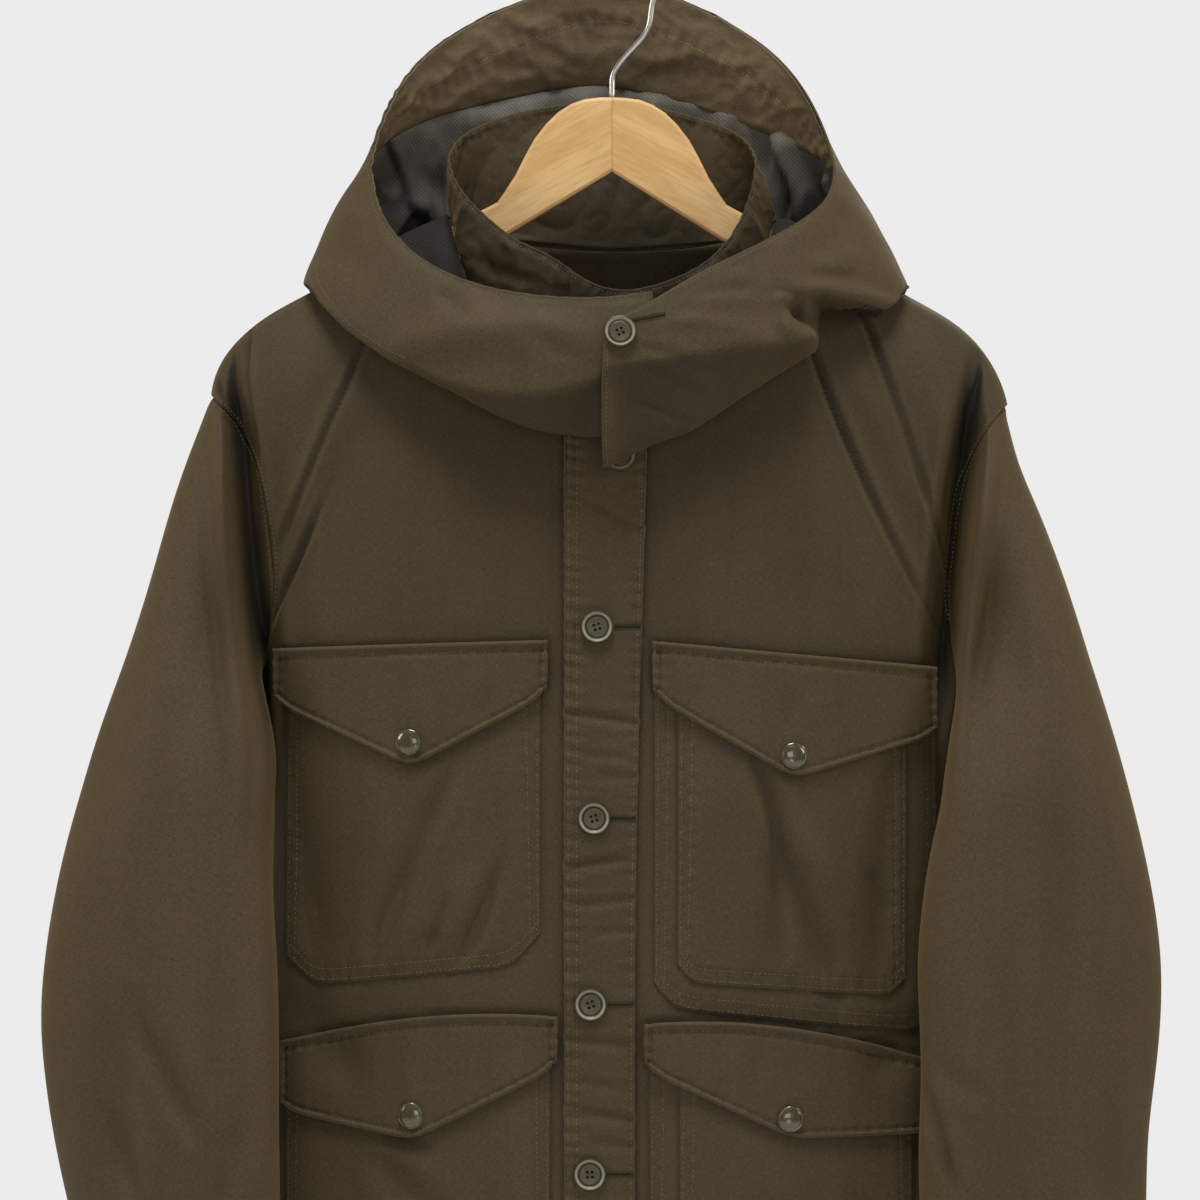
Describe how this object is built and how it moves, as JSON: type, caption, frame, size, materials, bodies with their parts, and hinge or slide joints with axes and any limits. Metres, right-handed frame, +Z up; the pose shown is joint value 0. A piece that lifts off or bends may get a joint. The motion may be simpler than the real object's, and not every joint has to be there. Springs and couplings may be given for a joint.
{
  "type": "hooded cruiser jacket on a hanger",
  "caption": "Hip-length hooded cruiser jacket with a button placket and flapped patch pockets, hanging open at neck, hem and cuffs on a flat shoulder hanger.",
  "frame": {"origin": "inside of the hanger's hook at its top, where the rail carries it", "axes": "+Z up; the jacket's front faces -Y and the wearer's right side is at -X"},
  "size_m": [0.684, 0.2709, 0.9218],
  "materials": {
    "olive_shell": "dense olive-brown cotton cloth, matt, faintly two-tone weave",
    "olive_facing": "olive-brown facing cloth inside the hood's edge, lightly crinkled",
    "grey_lining": "thin grey lining of the hood",
    "olive_button": "marbled olive-grey four-hole buttons",
    "olive_snap": "glossy olive snap caps",
    "beech": "pale beech board, satin varnish",
    "steel": "bright drawn wire"
  },
  "bodies": {
    "root": {"front_right": "olive_shell", "front_left": "olive_shell", "back": "olive_shell", "sleeve_right": "olive_shell", "sleeve_left": "olive_shell", "collar": "olive_shell", "hood_side_right": "olive_shell", "hood_side_left": "olive_shell", "hood_centre": "olive_shell", "placket": "olive_shell", "chest_pocket_right": "olive_shell", "chest_pocket_left": "olive_shell", "chest_patch_left": "olive_shell", "lower_pocket_right": "olive_shell", "lower_pocket_left": "olive_shell", "lower_patch_left": "olive_shell", "chest_flap_right": "olive_shell", "chest_flap_left": "olive_shell", "lower_flap_right": "olive_shell", "lower_flap_left": "olive_shell", "hood_facing": "olive_facing", "hood_lining": "grey_lining", "button_1": "olive_button", "button_2": "olive_button", "button_3": "olive_button", "button_4": "olive_button", "button_5": "olive_button", "button_6": "olive_button", "button_chin": "olive_button", "chest_snap_right": "olive_snap", "chest_snap_left": "olive_snap", "lower_snap_right": "olive_snap", "lower_snap_left": "olive_snap", "hanger_bar": "beech", "hanger_hook": "steel"}
  },
  "joints": []
}
